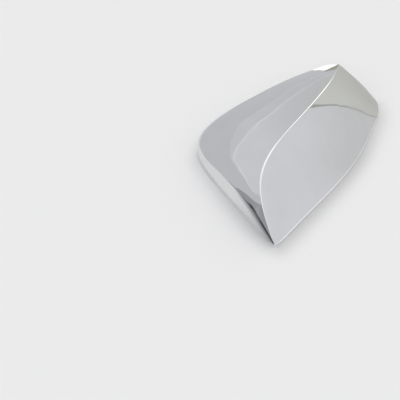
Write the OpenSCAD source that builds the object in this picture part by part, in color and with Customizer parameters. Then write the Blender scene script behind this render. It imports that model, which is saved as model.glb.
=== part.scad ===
// Wing mirror cover: a thin chrome-plated moulding that lies over a mirror housing.
// It rests open side down on its rim. The origin is on the rim's underside in the pointed tip,
// X runs along the front rim, Y towards the far side and Z up.

/* [Cover] */
// Length from the tip to the arched end
cover_l = 244; // [220:2:270]
// Depth that the plan's hundredths are taken of
cover_w = 138; // [124:2:152]
// Height that the hundredths of height are taken of
cover_h = 43; // [38:1:50]
// Distance from the tip's outer edges in to the origin, each way
tip_in = 2; // [1.6:0.1:2.6]
// Wall thickness of the moulding
wall = 2.4; // [1.8:0.1:3]
// Height of the upright hem along the front rim
hem_h = 2.4; // [2:0.1:4]
// How far the rounded nose stands in front of the tip's first section
nose_out = 1.2; // [0.6:0.1:2]

/* [Edges and crowns] */
// Reach of the rounding along the crest, each way
crest_r = 2; // [1:0.1:4]
// Reach of the rounding along the shoulder beside the tip, each way
shoulder_tip_r = 1.6; // [0.8:0.1:4]
// Reach of the rounding along the shoulder on the far side, each way
shoulder_far_r = 14; // [8:0.5:16]
// Reach of the rounding between front face and hem, each way
hem_r = 1.2; // [0.8:0.1:3]
// Rise of the top face over a flat one, beside the tip
top_tip_crown = 5.6; // [1:0.1:6]
// Rise of the top face over a flat one, on the far side
top_far_crown = 4; // [1:0.1:5]
// Rise of the front face over a flat one
front_crown = 2.6; // [1:0.1:4]
// Rise of the skirt over a flat one
skirt_crown = 1.2; // [0:0.1:2]

/* [Tape] */
// Width of the foam tape
tape_w = 10; // [6:0.5:14]
// Thickness of the foam tape
tape_t = 1.1; // [0.6:0.1:2]
// Distance in plan from the front rim to the tape's middle
front_tape_in = 14; // [11:0.5:22]
// Distance in plan from the shoulder to the tape's middle
far_tape_in = 17; // [14:0.5:24]

/* [Fineness] */
// Stations from the tip to the arched end
stations = 44; // [30:1:50]
// Steps across each stretch of a section
steps = 2; // [2:1:3]

/* [Hidden] */
chrome = [0.80, 0.81, 0.83];
foam = [0.16, 0.16, 0.17];

// Guide points of the form, in hundredths of length, depth and height, from tip to arched end
RIM_A = [[0, 1.5, 0], [1.6, 14, 0], [6, 38, 0], [12, 71, 0], [20.5, 101, 0], [39, 105, 0],
    [61, 98.5, 0], [84, 90, 0], [100, 83, 0]];
SHOULDER = [[0.2, 1.5, 7], [1.2, 11.2, 31], [6.4, 30, 42], [11.6, 63.5, 40], [18.4, 98, 34],
    [37.2, 100, 45], [60, 94, 47], [83.4, 86, 50], [100, 79.5, 37]];
CREST = [[0.5, 1.5, 10], [1.9, 10.8, 38.5], [8.2, 26.8, 78], [19, 34.5, 96], [32, 38.5, 102],
    [48, 41.5, 99.5], [68, 46.5, 93], [87.5, 54.5, 78], [100, 63, 67]];
RIM_B = [[0.8, 0, 0], [6, -0.5, 0], [16, 0, 0], [32, -0.5, 0], [51, 0, 0], [68, 4.5, 0],
    [82.5, 11.8, 0], [95.5, 16, 0], [100, 26, 6]];

// The curves are cubic
degree = 3;
// Shares of the way from the tip where the near form starts to change and the far form begins
TO_FAR = [0.35, 0.6];
// Places of a face's two crown points on the way across it
CROWN_AT = [0.35, 0.65];
// Turns of the nose's rings, from its front to the first section
NOSE_TURNS = [75, 50, 25];
// The hollow starts this share of the way from the tip, and the tip in front of it is solid
hollow_start = 0.03;
// Plane of the arched end, and how late the form is drawn to it
end_x = cover_l - tip_in;
end_draw = 8;
// How far a cutting form runs past what it cuts
past = 5;
// Length of guide over which a direction is measured
du = 0.01;

// Stretch of its guide that each strip of tape runs beside, and steps along it
FRONT_TIP_RUN = [0.24, 0.46];
FRONT_END_RUN = [0.54, 0.78];
SIDE_RUN = [0.24, 0.40];
FAR_CORNER_RUN = [0.50, 0.66];
FAR_END_RUN = [0.72, 0.90];
ARCH_RUN = [0.3, 0.8];
tape_steps = 12;

function unit(v) = v / norm(v);
function mix(p, q, t) = p + (q - p) * t;
function last(list) = list[len(list) - 1];
function clamp(t) = min(max(t, 0), 1);

// Cubic B-spline through the ends of a list of control points, t from 0 to 1
function knot(c, i) = min(max(i - degree, 0), len(c) - degree);
function de_boor(c, x, i, r) = r == 0 ? c[i] :
    mix(de_boor(c, x, i - 1, r - 1), de_boor(c, x, i, r - 1),
        (x - knot(c, i)) / (knot(c, i + degree + 1 - r) - knot(c, i)));
function spline(c, t) = let (x = t * (len(c) - degree))
    de_boor(c, x, min(floor(x), len(c) - degree - 1) + degree, degree);

// Place on a guide in millimetres
function on(guide, u) = let (p = spline(guide, clamp(u)))
    [p.x * cover_l, p.y * cover_w, p.z * cover_h] / 100 - [tip_in, tip_in, 0];

// The five corners of the section at u: far rim, shoulder, crest, hem and front rim
function corners(u) = let (rim = on(RIM_B, u))
    [on(RIM_A, u), on(SHOULDER, u), on(CREST, u), rim + [0, 0, hem_h], rim];

// Outward normals of the four faces between those corners
function normals(u) = let (c = corners(u), t = corners(u + du) - corners(u - du))
    [for (k = [0 : 3]) unit(cross(c[k + 1] - c[k], t[k] + t[k + 1]))];

// Moves a corner so that both of its faces shift by one, or a rim so that it stays level
function mitre(a, b) = (a + b) / (1 + a * b);
function level(n) = [n.x, n.y, 0] / (n.x * n.x + n.y * n.y);

// The corners moved inwards by depth
function inner_corners(u, depth) = let (c = corners(u), n = normals(u))
    [c[0] - depth * level(n[0]), c[1] - depth * mitre(n[0], n[1]),
     c[2] - depth * mitre(n[1], n[2]), c[3] - depth * mitre(n[2], n[3]),
     c[4] - depth * level(n[3])];

// The shoulder is crisp beside the tip and soft on the far side, where the top face is flatter
function far_share(u) = let (t = clamp((u - TO_FAR[0]) / (TO_FAR[1] - TO_FAR[0])))
    t * t * (3 - 2 * t);
function shoulder_r(u) = mix(shoulder_tip_r, shoulder_far_r, far_share(u));
function top_crown(u) = mix(top_tip_crown, top_far_crown, far_share(u));

// Points one and two reaches along the way from p to q
function near(p, q, reach) = let (step = (q - p) * reach / (norm(q - p) + 5 * reach))
    [p + step, p + 2 * step];
function turned(pair) = [pair[1], pair[0]];

// Points of a face that rises over the flat one from p to q
function crowned(p, q, t, n, rise) = let (gap = norm(q - p))
    mix(p, q, t) + n * rise * gap / (gap + cover_h);
function crown_pair(p, q, n, rise) = [for (t = CROWN_AT) crowned(p, q, t, n, rise)];

// Control points across a section, from the far rim over the crest to the front rim
function across(c, n, shoulder_reach, top_rise) = let (
    skirt = crowned(c[0], c[1], 0.5, n[0], skirt_crown),
    top = crown_pair(c[1], c[2], n[1], top_rise),
    face = crown_pair(c[2], c[3], n[2], front_crown))
    concat([c[0], skirt], turned(near(c[1], skirt, shoulder_reach)), [c[1]],
        near(c[1], top[0], shoulder_reach), top, turned(near(c[2], top[1], crest_r)), [c[2]],
        near(c[2], face[0], crest_r), face, turned(near(c[3], face[1], hem_r)), [c[3], c[4]]);

// The section's curve at u, depth inside the outer face
function curve(u, depth) = let (
    rows = across(inner_corners(u, depth), normals(u), shoulder_r(u), top_crown(u)),
    count = (len(rows) - degree) * steps)
    [for (j = [0 : count]) spline(rows, j / count)];

// Sections from one share of the way to the end, drawn to the plane of the arched end
function sections(first, depth) = let (short = [for (p = curve(1, depth)) end_x - p.x])
    [for (i = [0 : stations]) let (u = mix(first, 1, i / stations), s = curve(u, depth))
        [for (j = [0 : len(s) - 1]) s[j] + [pow(u, end_draw) * short[j], 0, 0]]];

// Rings that carry the first section on to a small dome over the tip
function nose(first) = let (foot = (first[0] + last(first)) / 2,
    forward = unit([-1, -1, 0]) * nose_out)
    [for (turn = NOSE_TURNS)
        [for (p = first) mix(foot, p, cos(turn)) + forward * sin(turn)]];

function middle(ring) = [for (p = ring) 1] * ring / len(ring);

// Closed solid through a list of rings with the same number of points
module loft(rings) {
    n = len(rings[0]);
    end = len(rings) - 1;
    points = concat([for (ring = rings) each ring], [middle(rings[0]), middle(rings[end])]);
    sides = [for (i = [0 : end - 1], j = [0 : n - 1])
        let (a = i * n + j, b = i * n + (j + 1) % n)
        each [[a, a + n, b], [b, a + n, b + n]]];
    first_cap = [for (j = [0 : n - 1]) [len(points) - 2, j, (j + 1) % n]];
    last_cap = [for (j = [0 : n - 1])
        [len(points) - 1, end * n + (j + 1) % n, end * n + j]];
    polyhedron(points, concat(sides, first_cap, last_cap));
}

// The cover as a solid block, standing on its rim
module outer_form() {
    rings = sections(0, 0);
    loft(concat(nose(rings[0]), rings));
}

// What lies inside the cover, depth under the outer face and past the rim and the end
module hollow_form(depth) {
    rings = [for (s = sections(hollow_start, depth))
        concat([[s[0].x, s[0].y, -past]], s, [[last(s).x, last(s).y, -past]])];
    loft(concat(rings, [[for (p = last(rings)) p + [past, 0, 0]]]));
}

module cover_shell() {
    color(chrome) difference() {
        outer_form();
        hollow_form(wall);
    }
}

// A strip of tape under the skin, its outline given in plan
module tape(outline) {
    color(foam) intersection() {
        difference() {
            hollow_form(wall);
            hollow_form(wall + tape_t);
        }
        linear_extrude(cover_h * 2) polygon(outline);
    }
}

// Outline of a strip that runs beside a guide, its middle so far inside it in plan
function beside(guide, side, distance, run) = let (
    us = [for (i = [0 : tape_steps]) mix(run[0], run[1], i / tape_steps)],
    near_edge = [for (u = us) shifted(guide, side * (distance - tape_w / 2), u)],
    far_edge = [for (u = us) shifted(guide, side * (distance + tape_w / 2), u)])
    concat(near_edge, [for (i = [tape_steps : -1 : 0]) far_edge[i]]);
function shifted(guide, d, u) = let (p = on(guide, u), t = on(guide, u + du) - on(guide, u - du))
    [p.x, p.y] + d * unit([-t.y, t.x]);

// The arched end's straight guide, from its crest to its front rim
ARCH = [last(CREST), last(CREST), last(RIM_B), last(RIM_B)];

module tape_front_tip() tape(beside(RIM_B, 1, front_tape_in, FRONT_TIP_RUN));
module tape_front_end() tape(beside(RIM_B, 1, front_tape_in, FRONT_END_RUN));
module tape_side() tape(beside(SHOULDER, -1, far_tape_in, SIDE_RUN));
module tape_far_corner() tape(beside(SHOULDER, -1, far_tape_in, FAR_CORNER_RUN));
module tape_far_end() tape(beside(SHOULDER, -1, far_tape_in, FAR_END_RUN));
module tape_arch() tape(beside(ARCH, -1, front_tape_in, ARCH_RUN));

cover_shell();
tape_front_tip();
tape_front_end();
tape_side();
tape_far_corner();
tape_far_end();
tape_arch();
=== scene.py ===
"""Wing mirror cover in bright chrome, lying open side down on a pale studio floor.

Metres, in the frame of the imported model: X along the front rim, Y to the far side, Z up.
"""
import math

import bpy
import numpy as np
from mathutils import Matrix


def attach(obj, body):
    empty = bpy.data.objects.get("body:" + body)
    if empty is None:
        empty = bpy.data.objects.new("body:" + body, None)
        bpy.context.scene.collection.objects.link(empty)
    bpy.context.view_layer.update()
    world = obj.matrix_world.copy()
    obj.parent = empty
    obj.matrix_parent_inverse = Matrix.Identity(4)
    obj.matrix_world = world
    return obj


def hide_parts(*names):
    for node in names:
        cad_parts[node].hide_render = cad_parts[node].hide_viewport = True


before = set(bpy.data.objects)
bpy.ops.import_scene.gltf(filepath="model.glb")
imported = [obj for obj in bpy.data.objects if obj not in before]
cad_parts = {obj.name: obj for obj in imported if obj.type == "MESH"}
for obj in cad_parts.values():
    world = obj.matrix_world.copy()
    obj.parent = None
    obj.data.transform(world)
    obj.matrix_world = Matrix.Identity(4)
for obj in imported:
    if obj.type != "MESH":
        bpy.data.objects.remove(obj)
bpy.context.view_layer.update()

# The cover's form, from the same guides and sizes as the solid's, in millimetres
COVER_L, COVER_W, COVER_H = 244.0, 138.0, 43.0
TIP_IN = 2.0
WALL = 2.4
HEM_H = 2.4
# Reach of the rounding at the crest, the hem and the shoulder, near the tip and past the corner
CREST_R, HEM_R = 2.0, 1.2
SHOULDER_R_TIP, SHOULDER_R_FAR = 1.6, 14.0
# Bulge of each face, at two places across the top and the front and in the skirt's middle
TOP_CROWN_TIP, TOP_CROWN_FAR = 5.6, 4.0
FRONT_CROWN, SKIRT_CROWN = 2.6, 1.2
CROWN_AT = (0.35, 0.65)
# Shares of the length between which the sizes near the tip turn into the far ones
TO_FAR = (0.35, 0.6)
# A face this many reaches wide gives its roundings half their reach, and a narrower one less
ROOM = 5
# Share of the length from which the tip is hollow
HOLLOW_START = 0.03
END_X = COVER_L - TIP_IN
# Power of the share of the length by which the sections move out to the arched end's plane
FLATTEN = 8
# Share of the length to each side over which a slope is measured
SLOPE_STEP = 0.01
# Depth of the dome over the tip, and how far each of its rings is turned, in degrees
NOSE_H = 1.2
NOSE_TURNS = (75, 50, 25)

# Guides, in hundredths of the length, width and height
RIM_A = [(0, 1.5, 0), (1.6, 14, 0), (6, 38, 0), (12, 71, 0), (20.5, 101, 0), (39, 105, 0),
         (61, 98.5, 0), (84, 90, 0), (100, 83, 0)]
SHOULDER = [(0.2, 1.5, 7), (1.2, 11.2, 31), (6.4, 30, 42), (11.6, 63.5, 40), (18.4, 98, 34),
            (37.2, 100, 45), (60, 94, 47), (83.4, 86, 50), (100, 79.5, 37)]
CREST = [(0.5, 1.5, 10), (1.9, 10.8, 38.5), (8.2, 26.8, 78), (19, 34.5, 96), (32, 38.5, 102),
         (48, 41.5, 99.5), (68, 46.5, 93), (87.5, 54.5, 78), (100, 63, 67)]
RIM_B = [(0.8, 0, 0), (6, -0.5, 0), (16, 0, 0), (32, -0.5, 0), (51, 0, 0), (68, 4.5, 0),
         (82.5, 11.8, 0), (95.5, 16, 0), (100, 26, 6)]

# Facets along the cover and across it, and the angle from which an edge is shaded sharp
STATIONS = 220
STEPS = 204
SHARP_DEG = 35


def spline_weights(count, ts):
    """Weights of a clamped cubic B-spline's control points at each place from 0 to 1."""
    knots = [0.0] * 3 + [float(k) for k in range(count - 2)] + [count - 3.0] * 3
    rows = []
    for t in ts:
        x = min(max(t, 0.0), 1.0) * (count - 3)
        span = min(int(x), count - 4) + 3
        weights = [1.0]
        for degree in (1, 2, 3):
            wider = [0.0] * (degree + 1)
            for k, w in enumerate(weights):
                low = knots[span - degree + 1 + k]
                share = (x - low) / (knots[span + 1 + k] - low)
                wider[k] += w * (1 - share)
                wider[k + 1] += w * share
            weights = wider
        row = np.zeros(count)
        row[span - 3:span + 1] = weights
        rows.append(row)
    return np.array(rows)


def on(guide, us):
    """Places on a guide, in millimetres from the origin in the tip."""
    points = spline_weights(len(guide), us) @ np.array(guide, float)
    return points * (COVER_L, COVER_W, COVER_H) / 100 - (TIP_IN, TIP_IN, 0)


def unit(v):
    return v / np.linalg.norm(v, axis=-1, keepdims=True)


def corners(us):
    """Far rim, shoulder, crest, hem and front rim at each station."""
    rim = on(RIM_B, us)
    return np.stack([on(RIM_A, us), on(SHOULDER, us), on(CREST, us),
                     rim + (0, 0, HEM_H), rim], axis=1)


def normals(us):
    """Outward normals of the four faces between the corners."""
    c = corners(us)
    t = corners(us + SLOPE_STEP) - corners(us - SLOPE_STEP)
    return unit(np.cross(c[:, 1:] - c[:, :-1], t[:, :-1] + t[:, 1:]))


def mitre(a, b):
    """How far a corner between two faces moves for each step that both move in."""
    return (a + b) / (1 + np.sum(a * b, axis=1, keepdims=True))


def level(n):
    """The same for a rim, which stays at its height."""
    return n * (1, 1, 0) / (n[:, :1] ** 2 + n[:, 1:2] ** 2)


def inner_corners(us, depth):
    c, n = corners(us), normals(us)
    shift = np.stack([level(n[:, 0]), mitre(n[:, 0], n[:, 1]), mitre(n[:, 1], n[:, 2]),
                      mitre(n[:, 2], n[:, 3]), level(n[:, 3])], axis=1)
    return c - depth * shift


def near(p, q, reach):
    """Two points on the way from p to q, up to a reach and two reaches along."""
    gap = np.linalg.norm(q - p, axis=1, keepdims=True)
    step = (q - p) * reach / (gap + ROOM * reach)
    return [p + step, p + 2 * step]


def crowned(p, q, t, n, rise):
    """The point at share t from p to q, raised along the normal."""
    gap = np.linalg.norm(q - p, axis=1, keepdims=True)
    return p + (q - p) * t + n * rise * gap / (gap + COVER_H)


def changing(us, near_tip, far):
    """A size that turns smoothly from its value near the tip to its value past the corner."""
    t = np.clip((us - TO_FAR[0]) / (TO_FAR[1] - TO_FAR[0]), 0, 1)[:, None]
    return near_tip + (far - near_tip) * t * t * (3 - 2 * t)


def sheet(us, depth):
    """The cover's skin so deep inside its outer face, as rows of points in metres."""
    c, n = inner_corners(us, depth), normals(us)
    rim, shoulder, crest, hem, front = (c[:, k] for k in range(5))
    skirt_n, top_n, front_n = n[:, 0], n[:, 1], n[:, 2]
    shoulder_r = changing(us, SHOULDER_R_TIP, SHOULDER_R_FAR)
    top_crown = changing(us, TOP_CROWN_TIP, TOP_CROWN_FAR)
    skirt = crowned(rim, shoulder, 0.5, skirt_n, SKIRT_CROWN)
    top = [crowned(shoulder, crest, t, top_n, top_crown) for t in CROWN_AT]
    face = [crowned(crest, hem, t, front_n, FRONT_CROWN) for t in CROWN_AT]
    across = np.stack([
        rim, skirt, *near(shoulder, skirt, shoulder_r)[::-1], shoulder,
        *near(shoulder, top[0], shoulder_r), *top, *near(crest, top[1], CREST_R)[::-1], crest,
        *near(crest, face[0], CREST_R), *face, *near(hem, face[1], HEM_R)[::-1], hem, front],
        axis=1)
    weights = spline_weights(across.shape[1], np.linspace(0, 1, STEPS + 1))
    points = np.einsum("vc,ucx->uvx", weights, across)
    past_end = END_X - points[-1, :, 0]
    points[:, :, 0] += us[:, None] ** FLATTEN * past_end
    return points / 1000


def rounded_nose(first):
    """Rings that carry the first section on to a small dome over the tip."""
    floor_middle = (first[0] + first[-1]) / 2
    forward = np.array([-1, -1, 0]) / math.sqrt(2) * NOSE_H / 1000
    return [floor_middle + (first - floor_middle) * math.cos(math.radians(turn))
            + forward * math.sin(math.radians(turn)) for turn in NOSE_TURNS]


def new_object(name, points, faces, materials, face_slots=None):
    mesh = bpy.data.meshes.new(name)
    mesh.from_pydata([tuple(map(float, p)) for p in points], [], faces)
    for material in materials:
        mesh.materials.append(material)
    if face_slots is not None:
        mesh.polygons.foreach_set("material_index", face_slots)
    mesh.shade_smooth()
    mesh.set_sharp_from_angle(angle=math.radians(SHARP_DEG))
    mesh.update()
    obj = bpy.data.objects.new(name, mesh)
    bpy.context.scene.collection.objects.link(obj)
    return obj


def build_cover(bright, inside):
    """One closed moulding: outer skin, inner skin, rims, arched end and solid tip."""
    us = np.linspace(0, 1, STATIONS + 1)
    outer = sheet(us, 0.0)
    outer = np.concatenate([rounded_nose(outer[0]), outer])
    inner = sheet(HOLLOW_START + (1 - HOLLOW_START) * us, WALL)
    inner[:, (0, -1), 2] = 0.0
    cols = outer.shape[1]
    out_id = np.arange(len(outer) * cols).reshape(-1, cols)
    in_id = out_id.size + np.arange(len(inner) * cols).reshape(-1, cols)
    points = [*outer.reshape(-1, 3), *inner.reshape(-1, 3)]
    faces, slots = [], []
    plated, moulded = 0, 1

    def quads(a, b, c, d, slot):
        for quad in zip(a.ravel().tolist(), b.ravel().tolist(),
                        c.ravel().tolist(), d.ravel().tolist()):
            faces.append(quad)
            slots.append(slot)

    def fan(ring, slot):
        middle = len(points)
        points.append(np.mean([points[k] for k in ring], axis=0))
        for k, a in enumerate(ring):
            faces.append((middle, a, ring[(k + 1) % len(ring)]))
            slots.append(slot)

    quads(out_id[:-1, :-1], out_id[1:, :-1], out_id[1:, 1:], out_id[:-1, 1:], plated)
    quads(in_id[:-1, :-1], in_id[:-1, 1:], in_id[1:, 1:], in_id[1:, :-1], moulded)
    # Undersides of the far rim and the front rim, which run opposite ways round the hollow
    rim = len(outer) - len(inner)
    a, b = out_id[rim:, 0], in_id[:, 0]
    quads(a[:-1], b[:-1], b[1:], a[1:], plated)
    a, b = out_id[rim:, -1], in_id[:, -1]
    quads(a[:-1], a[1:], b[1:], b[:-1], plated)
    quads(out_id[-1, :-1], in_id[-1, :-1], in_id[-1, 1:], out_id[-1, 1:], plated)
    fan(out_id[0].tolist(), plated)
    fan(in_id[0, ::-1].tolist(), moulded)
    # Underside of the solid tip
    under = [*out_id[:rim + 1, 0].tolist(), int(in_id[0, 0]), int(in_id[0, -1]),
             *out_id[rim::-1, -1].tolist()]
    faces.append(tuple(under[::-1]))
    slots.append(plated)
    cover = new_object("cover_moulding", points, faces, (bright, inside), slots)
    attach(cover, "root")
    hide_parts("cover_shell")
    return cover


class Sums:
    """Lays out shader nodes as sums: each call adds nodes and gives what they put out."""

    def __init__(self, tree):
        self.nodes = tree.nodes
        self.links = tree.links

    def node(self, kind, **settings):
        made = self.nodes.new("ShaderNode" + kind)
        for name, value in settings.items():
            setattr(made, name, value)
        return made

    def feed(self, socket, value):
        """Sets a socket to a number or a colour, or links it to what a node puts out."""
        if isinstance(value, (int, float)):
            socket.default_value = value
        elif isinstance(value, tuple):
            socket.default_value = (*value, 1)
        else:
            self.links.new(value, socket)

    def place(self, kind="Object"):
        """X, Y and Z of the place that is shaded, or of a direction in the world."""
        split = self.node("SeparateXYZ")
        self.feed(split.inputs[0], self.node("TexCoord").outputs[kind])
        return split.outputs

    def maths(self, kind, *terms):
        node = self.node("Math", operation=kind)
        for socket, term in zip(node.inputs, terms):
            self.feed(socket, term)
        return node.outputs[0]

    def product(self, first, *others):
        for other in others:
            first = self.maths("MULTIPLY", first, other)
        return first

    def ramp(self, value, low, high, start=0.0, end=1.0, kind="SMOOTHSTEP"):
        """Goes from start to end while the value goes from low to high."""
        node = self.node("MapRange", interpolation_type=kind)
        for key, term in (("Value", value), ("From Min", low), ("From Max", high),
                          ("To Min", start), ("To Max", end)):
            self.feed(node.inputs[key], term)
        return node.outputs["Result"]

    def fall(self, value, low, high, start=1.0):
        return self.ramp(value, low, high, start, 0.0)

    def graph(self, value, points):
        """A smooth curve through points of value and result."""
        xs, ys = zip(*points)
        node = self.node("FloatCurve")
        line = node.mapping.curves[0]
        for k, (x, y) in enumerate(points):
            place = ((x - min(xs)) / (max(xs) - min(xs)), (y - min(ys)) / (max(ys) - min(ys)))
            if 0 < k < len(points) - 1:
                line.points.new(*place)
            else:
                line.points[-1 if k else 0].location = place
        node.mapping.update()
        self.feed(node.inputs["Value"], self.ramp(value, min(xs), max(xs), kind="LINEAR"))
        return self.ramp(node.outputs["Value"], 0, 1, min(ys), max(ys), kind="LINEAR")

    def blend(self, share, a, b):
        node = self.node("Mix", data_type="RGBA")
        for key, term in (("Factor", share), ("A", a), ("B", b)):
            self.feed(node.inputs[key], term)
        return node.outputs["Result"]

    def texture(self, kind, output, **inputs):
        """A procedural texture that stays with its piece."""
        node = self.node("Tex" + kind)
        self.feed(node.inputs["Vector"], self.node("TexCoord").outputs["Object"])
        for name, value in inputs.items():
            self.feed(node.inputs[name], value)
        return node.outputs[output]

    def bump(self, height, strength, distance):
        node = self.node("Bump")
        for key, term in (("Height", height), ("Strength", strength), ("Distance", distance)):
            self.feed(node.inputs[key], term)
        return node.outputs["Normal"]


def new_material(name):
    made = bpy.data.materials.new(name)
    made.use_nodes = True
    return made, Sums(made.node_tree)


def set_shader(sums, inputs):
    shader = sums.nodes["Principled BSDF"]
    for key, value in inputs.items():
        sums.feed(shader.inputs[key], value)


def set_glow(sums, colour, opaque=None):
    """Makes a material shadeless, and see-through where it isn't opaque."""
    glow = sums.node("Emission")
    sums.feed(glow.inputs["Color"], colour)
    surface = glow.outputs[0]
    if opaque is not None:
        mixed = sums.node("MixShader")
        sums.feed(mixed.inputs["Fac"], opaque)
        sums.feed(mixed.inputs[1], sums.node("BsdfTransparent").outputs[0])
        sums.feed(mixed.inputs[2], surface)
        surface = mixed.outputs[0]
    sums.feed(sums.nodes["Material Output"].inputs["Surface"], surface)


# The part's materials. A scale is a texture's, per metre, and a depth is in metres.
PLATE_DARK = (0.745, 0.75, 0.758)
PLATE_LIGHT = (0.8, 0.805, 0.817)
PLATE_ROUGHNESS = (0.03, 0.075)
CLOUD_SCALE, CLOUD_DETAIL = 55, 3
SMEAR_SCALE, SMEAR_DETAIL = 30, 4
SMEAR_SPREAD = (0.35, 0.75)
BACK_GREY = (0.6, 0.605, 0.615)
BACK_ROUGHNESS = 0.3
GRAIN_SCALE, GRAIN_BUMP, GRAIN_DEPTH = 900, 0.3, 0.0002
TAPE_DARK = (0.035, 0.035, 0.038)
TAPE_LIGHT = (0.075, 0.075, 0.08)
TAPE_ROUGHNESS = 0.8
CELL_SCALE, CELL_BUMP, CELL_DEPTH = 1400, 0.5, 0.0003


def chrome_plate():
    """Bright plating: faint clouds in its colour and smears in its gloss."""
    made, sums = new_material("chrome_plate")
    clouds = sums.texture("Noise", "Fac", Scale=CLOUD_SCALE, Detail=CLOUD_DETAIL)
    smears = sums.texture("Noise", "Fac", Scale=SMEAR_SCALE, Detail=SMEAR_DETAIL)
    set_shader(sums, {
        "Metallic": 1.0,
        "Base Color": sums.blend(clouds, PLATE_DARK, PLATE_LIGHT),
        "Roughness": sums.ramp(smears, *SMEAR_SPREAD, *PLATE_ROUGHNESS, kind="LINEAR")})
    return made


def chrome_back():
    """The unpolished inner face, plated over a fine moulded grain."""
    made, sums = new_material("chrome_back")
    grain = sums.texture("Noise", "Fac", Scale=GRAIN_SCALE)
    set_shader(sums, {
        "Metallic": 1.0,
        "Base Color": BACK_GREY,
        "Roughness": BACK_ROUGHNESS,
        "Normal": sums.bump(grain, GRAIN_BUMP, GRAIN_DEPTH)})
    return made


def foam_tape():
    """Closed-cell foam tape."""
    made, sums = new_material("foam_tape")
    cells = sums.texture("Voronoi", "Distance", Scale=CELL_SCALE)
    set_shader(sums, {
        "Base Color": sums.blend(cells, TAPE_DARK, TAPE_LIGHT),
        "Roughness": TAPE_ROUGHNESS,
        "Normal": sums.bump(cells, CELL_BUMP, CELL_DEPTH)})
    return made


# The studio's floor and camera
FLOOR_REACH = 6.0
FLOOR_WHITE = (0.905, 0.905, 0.905)
CAMERA_AT = (-0.2708, -0.14844, 0.35612)
CAMERA_TILT, CAMERA_TURN = 45, -49.5
CAMERA_SENSOR, CAMERA_LENS = 36, 49.5


def build_floor():
    """Pale matt paper that reaches far past the cover."""
    paper, sums = new_material("floor_paper")
    set_shader(sums, {"Base Color": FLOOR_WHITE, "Roughness": 1.0, "Specular IOR Level": 0.0})
    ways = ((-1, -1), (1, -1), (1, 1), (-1, 1))
    points = [(x * FLOOR_REACH, y * FLOOR_REACH, 0) for x, y in ways]
    floor = new_object("floor", points, [(0, 1, 2, 3)], (paper,))


def build_camera():
    data = bpy.data.cameras.new("camera")
    data.sensor_width = CAMERA_SENSOR
    data.lens = CAMERA_LENS
    camera = bpy.data.objects.new("camera", data)
    camera.location = CAMERA_AT
    camera.rotation_euler = (math.radians(CAMERA_TILT), 0, math.radians(CAMERA_TURN))
    bpy.context.scene.collection.objects.link(camera)
    bpy.context.scene.camera = camera


# The tent round the cover. Azimuths and elevations are in degrees, and two of them together
# are where a soft change starts and ends.
TENT_LOW_TIP = (0.76, 0.76, 0.785)
TENT_LOW_END = (0.655, 0.655, 0.655)
TENT_LOW_TURN = (-50, -30)
TENT_HIGH = (0.755, 0.755, 0.775)
TENT_RISE = (14, 34)

# Gap in the tent, where a warmer room shows beside a dark seam. The seam is azimuth by
# elevation, and low down the room's edge is soft.
ROOM_EDGE = [(10, -17.2), (14, -17.2), (14.6, -16.4), (15.5, -14.6), (17, -12.9),
             (18.5, -11.4), (19.6, -10.7), (20.7, -9.9), (22, -9.9), (24, -10.4),
             (26, -11.7), (30, -14)]
ROOM_LOW = (0.565, 0.57, 0.53)
ROOM_HIGH = (0.675, 0.68, 0.64)
ROOM_RISE = (7, 22)
ROOM_TOP = (28, 34)
ROOM_END = (148, 176)
ROOM_SOFT_BELOW = (8, 13)
ROOM_SOFTEST = 40
ROOM_EDGE_W = (-0.1, 0.3)
SEAM = (0.39, 0.39, 0.37)
SEAM_W = (0.15, 0.5)
SEAM_START = (10, 13)

# Far wall: a fold of light as elevation by azimuth, a fainter one so many degrees under it,
# and the top of the wall's pale foot
FOLD = [(25, 11), (31, 11.2), (33.5, 12), (37, 13.6), (39, 14.6), (41, 16.3), (43.5, 18.8),
        (46.5, 20.4), (50, 22), (58.5, 27.3), (66, 30.2), (74, 32.2), (82, 32.9), (88, 32.5),
        (97, 31.2), (108, 26.4), (112, 24.4), (116, 21.8), (121, 18.4), (126, 20.6), (134, 29)]
UNDER_FOLD = [(28, 1), (34.5, 4.2), (37, 5.2), (41.5, 6.5), (43.5, 6.4), (48, 5.8), (54.5, 5.2),
              (61, 4), (68, 2.6), (76, 1.6), (90, 0.8), (105, 0.4), (120, 0.2)]
FOOT = [(40, -4), (46, 0), (51, 5), (58, 11), (66, 16), (76, 21), (90, 22), (99, 20),
        (106, 11), (114, -2)]
WALL_START = (12, 26)
WALL_END = (132, 160)
WALL_FOOT = (0.745, 0.75, 0.76)
WALL_LOW = (0.60, 0.605, 0.62)
WALL_MID = (0.65, 0.655, 0.67)
WALL_MID_START = (34, 50)
WALL_DIM = (0.60, 0.605, 0.615)
WALL_HIGH = (0.71, 0.715, 0.735)
WALL_HIGH_START = (32, 52)
FOLD_EDGE_W = (-0.8, 0.8)
UNDER_EDGE_W = (-1, 1)
FOOT_EDGE_W = (-2, 1)
# Line of light along each fold, and how the main one changes with azimuth
FOLD_LIGHT = (0.80, 0.805, 0.82)
FOLD_LIGHT_W = (0.1, 0.6)
FOLD_LIGHT_SHARE = 0.9
FOLD_LIGHT_LOW = (0.9, 0.905, 0.92)
FOLD_LOW_START = (96, 112)
FOLD_WIDENS = (98, 112)
FOLD_WIDEST = 1.6
FOLD_START = (33, 43)
FOLD_FAINTEST = 0.3
UNDER_LIGHT = (0.70, 0.705, 0.725)
UNDER_LIGHT_W = (0.2, 0.9)
UNDER_LIGHT_SHARE = 0.4

# Strip light beside the gap
STRIP_LIGHT = (2.2, 2.15, 2.0)
STRIP_LIGHT_START = (7, 12)
STRIP_LIGHT_END = (22, 27)
STRIP_LIGHT_RISE = (14, 24)

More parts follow.
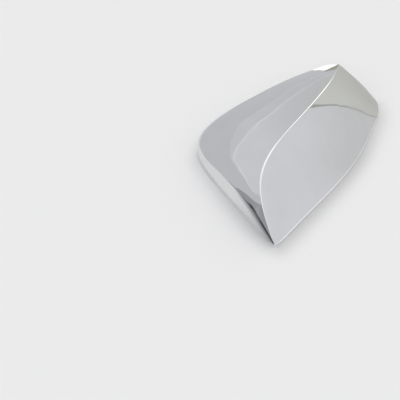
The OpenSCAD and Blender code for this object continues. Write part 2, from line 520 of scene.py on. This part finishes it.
# Softbox overhead. The elevation of its low edge rises with azimuth.
OVERHEAD_EDGE = (36, 43)
OVERHEAD_EDGE_RISE = (40, 75)
OVERHEAD_EDGE_W = 12
ZENITH = (0.95, 0.955, 0.965)
ZENITH_START = (56, 78)
# The level way in which it grows brighter, and how far along it that starts and ends
OVERHEAD_NEAR = (1.0, 1.0, 1.005)
OVERHEAD_FAR = (1.24, 1.24, 1.24)
OVERHEAD_WAY = (0.77, 0.64)
OVERHEAD_CHANGE = (-0.5, 0.4)


def add_gap(sums, azimuth, elevation, colour):
    over_seam = sums.maths("SUBTRACT", azimuth, sums.graph(elevation, ROOM_EDGE))
    softness = sums.ramp(elevation, *ROOM_SOFT_BELOW, ROOM_SOFTEST, 1)
    into_room = sums.maths("DIVIDE", over_seam, softness)
    under_top = sums.fall(elevation, *ROOM_TOP)
    in_room = sums.product(sums.ramp(into_room, *ROOM_EDGE_W), under_top,
                           sums.fall(azimuth, *ROOM_END))
    room = sums.blend(sums.ramp(elevation, *ROOM_RISE), ROOM_LOW, ROOM_HIGH)
    at_seam = sums.product(sums.fall(sums.maths("ABSOLUTE", over_seam), *SEAM_W),
                           sums.ramp(elevation, *SEAM_START), under_top)
    return sums.blend(at_seam, sums.blend(in_room, colour, room), SEAM)


def add_far_wall(sums, azimuth, elevation, colour):
    over_fold = sums.maths("SUBTRACT", elevation, sums.graph(azimuth, FOLD))
    over_under = sums.maths("ADD", over_fold, sums.graph(azimuth, UNDER_FOLD))
    over_foot = sums.maths("SUBTRACT", elevation, sums.graph(azimuth, FOOT))
    middle = sums.blend(sums.ramp(azimuth, *WALL_MID_START), WALL_LOW, WALL_MID)
    high = sums.blend(sums.ramp(azimuth, *WALL_HIGH_START), WALL_DIM, WALL_HIGH)
    wall = sums.blend(sums.ramp(over_under, *UNDER_EDGE_W), WALL_LOW, middle)
    off_under = sums.maths("ABSOLUTE", over_under)
    at_under = sums.fall(off_under, *UNDER_LIGHT_W, start=UNDER_LIGHT_SHARE)
    wall = sums.blend(at_under, wall, UNDER_LIGHT)
    wall = sums.blend(sums.ramp(over_fold, *FOLD_EDGE_W), wall, high)
    off_fold = sums.maths("DIVIDE", sums.maths("ABSOLUTE", over_fold),
                          sums.ramp(azimuth, *FOLD_WIDENS, 1, FOLD_WIDEST))
    at_fold = sums.product(sums.fall(off_fold, *FOLD_LIGHT_W, start=FOLD_LIGHT_SHARE),
                           sums.ramp(azimuth, *FOLD_START, FOLD_FAINTEST, 1))
    light = sums.blend(sums.ramp(azimuth, *FOLD_LOW_START), FOLD_LIGHT, FOLD_LIGHT_LOW)
    wall = sums.blend(at_fold, wall, light)
    wall = sums.blend(sums.fall(over_foot, *FOOT_EDGE_W), wall, WALL_FOOT)
    in_wall = sums.product(sums.ramp(azimuth, *WALL_START), sums.fall(azimuth, *WALL_END))
    return sums.blend(in_wall, colour, wall)


def add_strip_light(sums, azimuth, elevation, colour):
    in_strip = sums.product(sums.ramp(azimuth, *STRIP_LIGHT_START),
                            sums.fall(azimuth, *STRIP_LIGHT_END),
                            sums.ramp(elevation, *STRIP_LIGHT_RISE))
    return sums.blend(in_strip, colour, STRIP_LIGHT)


def add_overhead(sums, azimuth, elevation, across, colour):
    over_edge = sums.maths("SUBTRACT", elevation,
                           sums.ramp(azimuth, *OVERHEAD_EDGE_RISE, *OVERHEAD_EDGE))
    box = sums.blend(sums.ramp(across, *OVERHEAD_CHANGE), OVERHEAD_NEAR, OVERHEAD_FAR)
    box = sums.blend(sums.ramp(elevation, *ZENITH_START), box, ZENITH)
    return sums.blend(sums.ramp(over_edge, 0, OVERHEAD_EDGE_W), colour, box)


def build_world():
    """A white tent with a softbox overhead, drawn by direction so that chrome has it to show."""
    world = bpy.data.worlds.new("studio")
    bpy.context.scene.world = world
    world.use_nodes = True
    sums = Sums(world.node_tree)
    x, y, z = sums.place("Generated")
    azimuth = sums.maths("DEGREES", sums.maths("ARCTAN2", y, x))
    elevation = sums.maths("DEGREES", sums.maths("ARCSINE", z))
    across = sums.maths("ADD", sums.product(x, OVERHEAD_WAY[0]), sums.product(y, OVERHEAD_WAY[1]))
    low = sums.blend(sums.ramp(azimuth, *TENT_LOW_TURN), TENT_LOW_TIP, TENT_LOW_END)
    colour = sums.blend(sums.ramp(elevation, *TENT_RISE), low, TENT_HIGH)
    colour = add_gap(sums, azimuth, elevation, colour)
    colour = add_far_wall(sums, azimuth, elevation, colour)
    colour = add_strip_light(sums, azimuth, elevation, colour)
    colour = add_overhead(sums, azimuth, elevation, across, colour)
    back = sums.nodes["Background"]
    sums.feed(back.inputs["Color"], colour)
    sums.feed(back.inputs["Strength"], 1.0)


# The cards, the sheet, the shade and the strips are in millimetres.
# Dark card beside the tip, glowing and seen only in the chrome as a painted reflection of a dark
# neighbour: its edge in plan and how high it stands, with a cap above that. Its foot spreads over
# the floor towards the cover as a painted shadow, is black near the tip and fades out.
TIP_CARD = [(-18, 0, 10), (-11, 12, 30), (-6, 28, 38), (-5, 40, 34), (-6, 52, 25), (-6, 62, 20),
            (-6, 70, 16.5), (-6, 80, 12.5), (-8, 94, 14.5), (-15, 116, 14), (-32, 146, 12),
            (-62, 166, 12), (-120, 170, 12)]
TIP_CARD_STEPS = 60
TIP_CARD_FOOT_W = 12
TIP_CARD_FOOT_Z = 0.4
TIP_CARD_CAP_H = 24
TIP_CARD_SHADOW = (0.03, 0.03, 0.032)
TIP_CARD_GREY = (0.36, 0.365, 0.38)
TIP_CARD_SHADOW_Y = (70, 100)
TIP_CARD_SHADOW_Z = (1, 4)
TIP_CARD_CLEAR_X = (-6, 3)
# White card past the arched end, glowing and seen only in the chrome as a painted highlight over
# a
# painted dark band: its part on the floor in plan, and for each Y at CARD_X the heights to which
# it is white and then dark
CARD_FLOOR = [(256, 118), (276, 118), (320, 139), (320, 170), (298, 155), (258, 126)]
CARD_FLOOR_Z = 0.5
CARD_X = 320
CARD_TOP = [(139, 38, 49), (143, 37.5, 48), (148, 36.5, 46), (153, 37.5, 45), (157, 36.5, 40),
            (160, 33, 34), (164, 22, 23), (167, 8, 9), (169, 0.5, 1)]
CARD_HIGHLIGHT = (1.25, 1.25, 1.25)
CARD_DARK_REFLECTION = (0.36, 0.36, 0.3)
# Glowing grey sheet on the floor behind the cover, seen only in the chrome as a painted
# reflection, fading in along X
FAR = 5900
BACK_SHEET = [(90, 143), (236, 143), (262, 100), (FAR, 100), (FAR, FAR), (90, FAR)]
BACK_SHEET_Z = 0.3
BACK_SHEET_FADE = (95, 190)
BACK_SHEET_REFLECTION = (0.6, 0.605, 0.62)
# Painted soft shadow on the paper, black and seen only by the camera: how much it takes by share
# of each rim's length. It falls off as a bell curve of this reach, and is drawn out to so many
# reaches. Past the front rim's end it goes on through a turn in degrees.
SHADE_FRONT = [(0, 0.27), (0.1, 0.31), (0.6, 0.31), (0.8, 0.24), (0.9, 0.19), (1, 0.12)]
SHADE_SIDE = [(0, 0.18), (0.2, 0.12), (0.34, 0)]
SHADE_REACH = 11
SHADE_DRAWN_TO = 2.4
SHADE_END_TURN = 60
SHADE_Z = 0.1
SHADE_BLACK = 0
SHADE_FRONT_STEPS, SHADE_SIDE_STEPS, SHADE_TURN_STEPS, SHADE_OUT_STEPS = 60, 30, 14, 15
# White strips on the floor, glowing and seen only in the chrome, that paint light lines along the
# rims: how white by share of the length, how far out they lie and their level
FRONT_STRIP = [(0.01, 0), (0.03, 1), (0.4, 1), (0.6, 0)]
FRONT_STRIP_OUT = (0.3, 9)
FRONT_STRIP_LEVEL = 0.97
SIDE_STRIP = [(0.54, 0), (0.4, 1), (0.22, 1), (0.12, 0)]
SIDE_STRIP_OUT = (4, 28)
SIDE_STRIP_LEVEL = 0.81
STRIP_Z = 0.2
STRIP_STEPS = 40


def metres(*values):
    return [value / 1000 for value in values]


def reflected_only(card):
    """Only the chrome sees it."""
    card.visible_camera = False
    card.visible_diffuse = False
    card.visible_shadow = False


def build_tip_card():
    """The glowing dark card beside the tip, a painted reflection, with a painted black shadow at
    its foot and a grey cap.
    """
    edge = spline_weights(len(TIP_CARD), np.linspace(0, 1, TIP_CARD_STEPS + 1)) @ TIP_CARD
    along = np.gradient(edge[:, :2], axis=0)
    towards = unit(np.stack([along[:, 1], -along[:, 0]], axis=1))
    points, faces, slots = [], [], []
    for (x, y, top), (dx, dy) in zip(edge, towards):
        profile = [(TIP_CARD_FOOT_W, TIP_CARD_FOOT_Z), (0, TIP_CARD_FOOT_Z), (0, top),
                   (0, top + TIP_CARD_CAP_H)]
        points += [metres(x + dx * out, y + dy * out, z) for out, z in profile]
    for i in range(TIP_CARD_STEPS):
        for k, slot in enumerate((0, 0, 1)):
            a = 4 * i + k
            faces.append((a, a + 1, a + 5, a + 4))
            slots.append(slot)
    dark, sums = new_material("tip_card_painted_reflection")
    x, y, z = sums.place()
    # Painted black shadow at the card's foot, turning grey higher up and farther along Y
    foot = sums.blend(sums.ramp(y, *metres(*TIP_CARD_SHADOW_Y)), TIP_CARD_SHADOW, TIP_CARD_GREY)
    grey = sums.blend(sums.ramp(z, *metres(*TIP_CARD_SHADOW_Z)), foot, TIP_CARD_GREY)
    clear = sums.maths("SQRT", sums.ramp(x, *metres(*TIP_CARD_CLEAR_X)))
    set_glow(sums, grey, sums.maths("SUBTRACT", 1, clear))
    # The cap glows in the far wall's grey, a painted reflection
    cap, sums = new_material("tip_card_cap")
    set_glow(sums, WALL_LOW)
    reflected_only(new_object("tip_card", points, faces, (dark, cap), slots))


def build_end_card():
    """The glowing card whose painted highlight shows as a wedge in the corner of the arched end.
    """
    points = [metres(x, y, CARD_FLOOR_Z) for x, y in CARD_FLOOR]
    faces, slots = [tuple(range(len(points)))], [0]
    first = len(points)
    for y, white_to, dark_to in CARD_TOP:
        points += [metres(CARD_X, y, z) for z in (CARD_FLOOR_Z, white_to, dark_to)]
    for k in range(first, len(points) - 3, 3):
        faces += [(k, k + 1, k + 4, k + 3), (k + 1, k + 2, k + 5, k + 4)]
        slots += [0, 1]
    # Glowing white and dark: a painted highlight and a painted dark reflection in the chrome
    white, sums = new_material("card_painted_highlight")
    set_glow(sums, CARD_HIGHLIGHT)
    dark, sums = new_material("card_painted_dark_edge")
    set_glow(sums, CARD_DARK_REFLECTION)
    reflected_only(new_object("end_card", points, faces, (white, dark), slots))


def build_back_sheet():
    """A painted reflection: the glowing grey that the far edge mirrors from the floor behind it.
    """
    points = [metres(x, y, BACK_SHEET_Z) for x, y in BACK_SHEET]
    grey, sums = new_material("back_sheet_painted_reflection")
    x = sums.place()["X"]
    # Glowing grey, seen only in the chrome: a painted darker reflection
    set_glow(sums, BACK_SHEET_REFLECTION, sums.ramp(x, *metres(*BACK_SHEET_FADE)))
    reflected_only(new_object("back_sheet", points, [tuple(range(len(points)))], (grey,)))


def plan_run(guide, us):
    """Places along a rim in plan, and the compass angle that points away on its right."""
    places = on(guide, us)[:, :2]
    along = np.gradient(places, axis=0)
    return places, np.degrees(np.arctan2(along[:, 1], along[:, 0])) - 90


def floor_strip(name, feet, turns, shares, reaches, falloff, level, height):
    """A strip of painted light or shade on the floor, glowing at a level, out from a line of
    feet, as opaque as shares times falloff say.
    """
    turned = np.radians(turns)
    out = np.stack([np.cos(turned), np.sin(turned)], axis=1)
    rows = len(reaches)
    points = [metres(*(foot + way * reach), height)
              for foot, way in zip(feet, out) for reach in reaches]
    faces = [(a, a + 1, a + rows + 1, a + rows)
             for i in range(len(feet) - 1) for a in range(rows * i, rows * (i + 1) - 1)]
    paint, sums = new_material(name + "_paint")
    opaque = sums.node("Attribute", attribute_name="opaque").outputs["Fac"]
    set_glow(sums, (level, level, level), opaque)
    strip = new_object(name, points, faces, (paint,))
    values = np.outer(shares, falloff).ravel()
    strip.data.attributes.new("opaque", "FLOAT", "POINT").data.foreach_set("value", values)
    return strip


def shares_along(us, points):
    """Values by share of the length, read off between given points."""
    return np.interp(us, *zip(*sorted(points)))


def build_shade():
    """Painted soft shadow on the paper round the front, where the bright face lights up its own
    shadow.
    """
    side_us = np.linspace(SHADE_SIDE[-1][0], 0, SHADE_SIDE_STEPS + 1)
    front_us = np.linspace(0, 1, SHADE_FRONT_STEPS + 1)
    fan = np.linspace(0, 1, SHADE_TURN_STEPS + 1)[1:-1]
    side, side_turns = plan_run(RIM_A, side_us)
    # Counted below zero, they run on round the tip to those of the front rim
    side_turns = side_turns % -360
    front, front_turns = plan_run(RIM_B, front_us)
    side_takes = shares_along(side_us, SHADE_SIDE)
    front_takes = shares_along(front_us, SHADE_FRONT)
    round_tip = side_turns[-1] + fan * (front_turns[0] - side_turns[-1])
    tip_takes = side_takes[-1] + fan * (front_takes[0] - side_takes[-1])
    feet = [*side, *[front[0]] * len(fan), *front, *[front[-1]] * len(fan)]
    turns = [*side_turns, *round_tip, *front_turns, *(front_turns[-1] + SHADE_END_TURN * fan)]
    takes = [*side_takes, *tip_takes, *front_takes, *(front_takes[-1] * (1 - fan))]
    reaches = np.linspace(0, SHADE_DRAWN_TO, SHADE_OUT_STEPS + 1)
    falloff = np.exp(-reaches ** 2) * (reaches < SHADE_DRAWN_TO)
    # Black and seen only by the camera: a painted shadow on the floor
    shade = floor_strip("painted_front_shadow", feet, turns, takes, reaches * SHADE_REACH, falloff,
                        SHADE_BLACK, SHADE_Z)
    shade.visible_glossy = False
    shade.visible_diffuse = False
    shade.visible_shadow = False


def build_strip(name, guide, shares, out, level):
    """A glowing white strip along a rim, a painted reflection seen only in the chrome, from the
    first share of its length to the last.
    """
    us = np.linspace(shares[0][0], shares[-1][0], STRIP_STEPS + 1)
    # Glowing and seen only in the chrome: a painted light line along the rim
    reflected_only(floor_strip(name, *plan_run(guide, us), shares_along(us, shares), out, (1, 1),
                               level, STRIP_Z))


build_camera()
build_world()
build_floor()
build_tip_card()
build_end_card()
build_back_sheet()
build_shade()
build_strip("front_glint_strip", RIM_B, FRONT_STRIP, FRONT_STRIP_OUT, FRONT_STRIP_LEVEL)
build_strip("side_glint_strip", RIM_A, SIDE_STRIP, SIDE_STRIP_OUT, SIDE_STRIP_LEVEL)
build_cover(chrome_plate(), chrome_back())
tape = foam_tape()
for name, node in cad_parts.items():
    if name.startswith("tape_"):
        node.data.materials.clear()
        node.data.materials.append(tape)

view = bpy.context.scene.view_settings
view.view_transform = "Standard"
